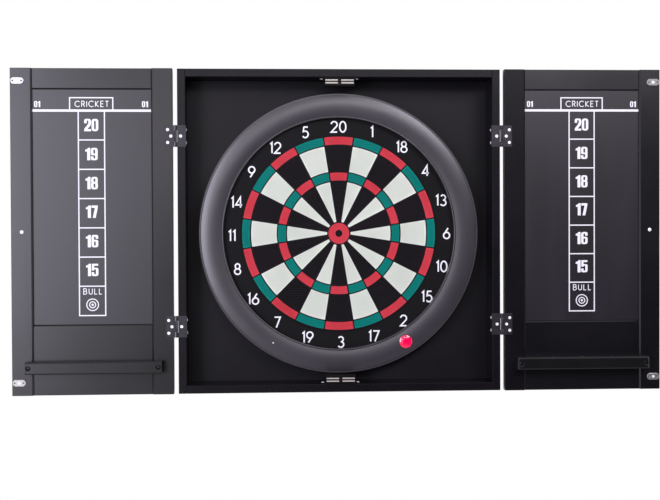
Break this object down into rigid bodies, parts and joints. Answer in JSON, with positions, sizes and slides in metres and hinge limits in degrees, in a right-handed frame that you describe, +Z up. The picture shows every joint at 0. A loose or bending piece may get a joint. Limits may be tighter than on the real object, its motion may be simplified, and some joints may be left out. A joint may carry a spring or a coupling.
{
  "type": "dartboard cabinet",
  "caption": "Square wall cabinet with two flat-opening doors, scoreboards, dart bars and magnetic catches round a soft-tip dartboard with a domed bezel.",
  "frame": {"origin": "middle of the four wall screws, in the plane of the wall", "axes": "+X to the right as the player sees it, +Y into the wall, +Z up; the doors stand open"},
  "size_m": [1.296, 0.11, 0.6454],
  "materials": {
    "lacquered_board": "satin black lacquer on MDF",
    "back_board": "matt black paint on hardboard",
    "bare_wood": "sawn pine",
    "hinge_steel": "dark gunmetal finish",
    "pin_steel": "plain steel",
    "plated_screw": "bright zinc plate",
    "catch_plastic": "moulded",
    "magnet": "ferrite",
    "pole_steel": "zinc plate",
    "door_lacquer": "satin black lacquer on MDF",
    "door_panel": "satin black lacquer on hardboard",
    "scoreboard": "dry-wipe sheet, charcoal",
    "bar_lacquer": "satin black lacquer",
    "strike_chrome": "bright plate",
    "knob": "satin black lacquer, turned",
    "hanger_steel": "zinc plate",
    "shell_plastic": "moulded",
    "rubber_mat": "matt",
    "circuit_board": "solder mask",
    "battery_case": "printed steel",
    "bezel_plastic": "satin moulded",
    "black_screw": "black oxide",
    "ring_plastic": "moulded",
    "grid_plastic": "moulded",
    "black_segment": "moulded",
    "white_segment": "moulded",
    "red_segment": "moulded",
    "green_segment": "moulded",
    "button_plastic": "polished, tinted",
    "lens_plastic": "polished"
  },
  "bodies": {
    "cabinet": {"cabinet_side_left": "lacquered_board", "cabinet_side_right": "lacquered_board", "cabinet_top": "lacquered_board", "cabinet_bottom": "lacquered_board", "back_panel": "back_board", "hanging_rails": "bare_wood", "left_hinge_cabinet_leaves": "hinge_steel", "right_hinge_cabinet_leaves": "hinge_steel", "hinge_pins": "pin_steel", "cabinet_hinge_screws": "plated_screw", "catch_housings": "catch_plastic", "catch_magnets": "magnet", "catch_pole_plates": "pole_steel", "catch_screws": "plated_screw", "board_hanger": "hanger_steel", "hanger_screws": "plated_screw", "board_shell": "shell_plastic", "sensor_mat": "rubber_mat", "circuit_board": "circuit_board", "batteries": "battery_case", "battery_door": "shell_plastic", "bezel": "bezel_plastic", "bezel_screws": "black_screw", "number_ring": "ring_plastic", "spider_grid": "grid_plastic", "black_singles": "black_segment", "white_singles": "white_segment", "red_segments": "red_segment", "green_segments": "green_segment", "lamp_lens": "lens_plastic"},
    "left_door": {"left_hinge_door_leaves": "hinge_steel", "left_door_hinge_stile": "door_lacquer", "left_door_free_stile": "door_lacquer", "left_door_top_rail": "door_lacquer", "left_door_bottom_rail": "door_lacquer", "left_door_panel": "door_panel", "left_scoreboard": "scoreboard", "left_dart_bar": "bar_lacquer", "left_bar_screws": "black_screw", "left_strike_plates": "strike_chrome", "left_plate_and_knob_screws": "plated_screw", "left_knob": "knob", "left_hinge_screws": "plated_screw"},
    "right_door": {"right_hinge_door_leaves": "hinge_steel", "right_door_hinge_stile": "door_lacquer", "right_door_free_stile": "door_lacquer", "right_door_top_rail": "door_lacquer", "right_door_bottom_rail": "door_lacquer", "right_door_panel": "door_panel", "right_scoreboard": "scoreboard", "right_dart_bar": "bar_lacquer", "right_bar_screws": "black_screw", "right_strike_plates": "strike_chrome", "right_plate_and_knob_screws": "plated_screw", "right_knob": "knob", "right_hinge_screws": "plated_screw"},
    "button": {"button_cap": "button_plastic"},
    "outer_bull": {"outer_bull": "red_segment"},
    "inner_bull": {"inner_bull": "black_segment"}
  },
  "joints": [
    {"name": "left_door_hinge", "type": "hinge", "parent": "cabinet", "child": "left_door", "pos_m": [-0.3249, -0.08645, 0], "axis": [0, 0, 1], "range_deg": [-5, 180]},
    {"name": "right_door_hinge", "type": "hinge", "parent": "cabinet", "child": "right_door", "pos_m": [0.3249, -0.08645, 0], "axis": [0, 0, -1], "range_deg": [-5, 180]},
    {"name": "button_press", "type": "slide", "parent": "cabinet", "child": "button", "axis": [0, 1, 0], "range_m": [0, 0.0015], "stiffness_N_per_m": 500, "springref_m": -0.0005},
    {"name": "outer_bull_press", "type": "slide", "parent": "cabinet", "child": "outer_bull", "axis": [0, 1, 0], "range_m": [0, 0.0008], "stiffness_N_per_m": 2000, "springref_m": -0.0002},
    {"name": "inner_bull_press", "type": "slide", "parent": "cabinet", "child": "inner_bull", "axis": [0, 1, 0], "range_m": [0, 0.0008], "stiffness_N_per_m": 2000, "springref_m": -0.0002}
  ]
}
